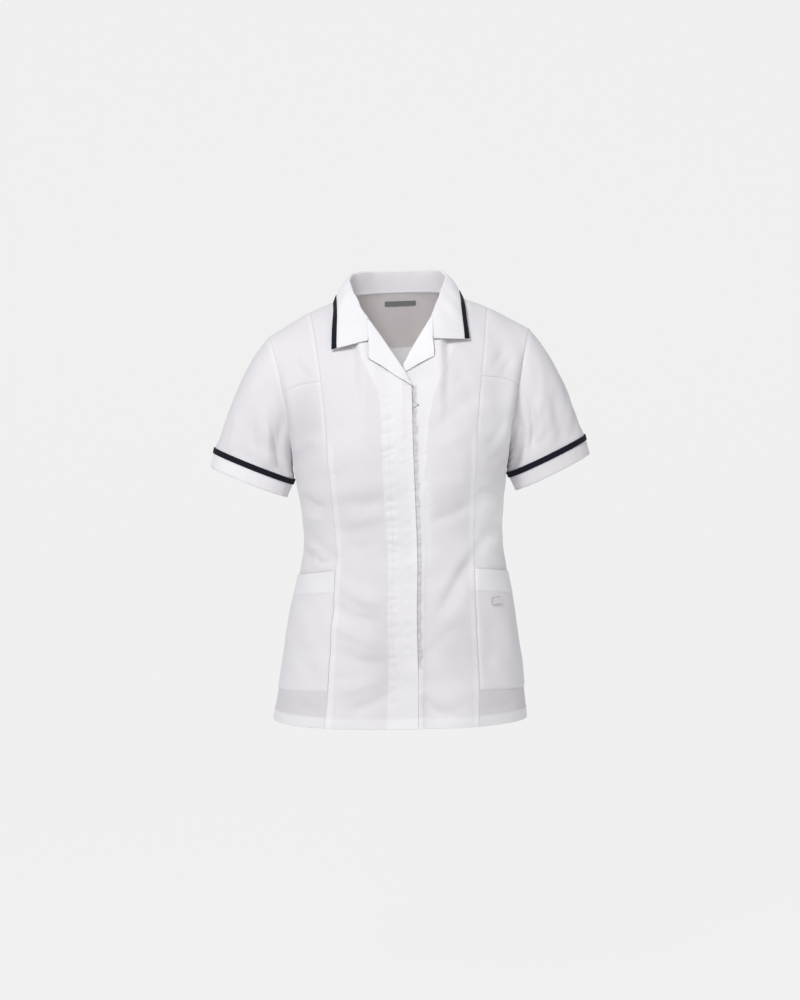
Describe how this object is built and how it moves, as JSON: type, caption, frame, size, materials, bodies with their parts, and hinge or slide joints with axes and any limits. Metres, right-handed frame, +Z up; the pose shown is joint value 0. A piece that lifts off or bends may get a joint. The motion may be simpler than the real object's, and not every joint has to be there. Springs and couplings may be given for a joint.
{
  "type": "work tunic",
  "caption": "Short-sleeved white work tunic, worn shape, with revers collar, contrast tape, concealed front zip and two hip pockets.",
  "frame": {"origin": "inside the shoulders, on the body's centre plane, half way along the height of the shoulder seams, where a wearer's shoulders carry the tunic", "axes": "+Z up, -Y the way the front faces, +X the wearer's left"},
  "size_m": [0.6203, 0.2873, 0.7314],
  "materials": {
    "white_cloth": "plain-woven poly-cotton, matt with a faint sheen",
    "navy_tape": "woven navy tape, matt",
    "zip_tape": "white zip tape",
    "woven_label": "grey woven label, bare",
    "white_tab": "white woven tab, bare"
  },
  "bodies": {
    "root": {"front_right": "white_cloth", "front_left": "white_cloth", "side_front_upper_left": "white_cloth", "side_front_upper_right": "white_cloth", "side_front_lower_left": "white_cloth", "side_front_lower_right": "white_cloth", "pocket_left": "white_cloth", "pocket_right": "white_cloth", "back_centre": "white_cloth", "side_back_left": "white_cloth", "side_back_right": "white_cloth", "back_yoke": "white_cloth", "sleeve_left": "white_cloth", "sleeve_right": "white_cloth", "cuff_left": "white_cloth", "cuff_right": "white_cloth", "revers_left": "white_cloth", "revers_right": "white_cloth", "collar": "white_cloth", "collar_tape": "navy_tape", "cuff_tape_left": "navy_tape", "cuff_tape_right": "navy_tape", "zip_tape": "zip_tape", "neck_label": "woven_label", "pocket_tab": "white_tab"}
  },
  "joints": []
}
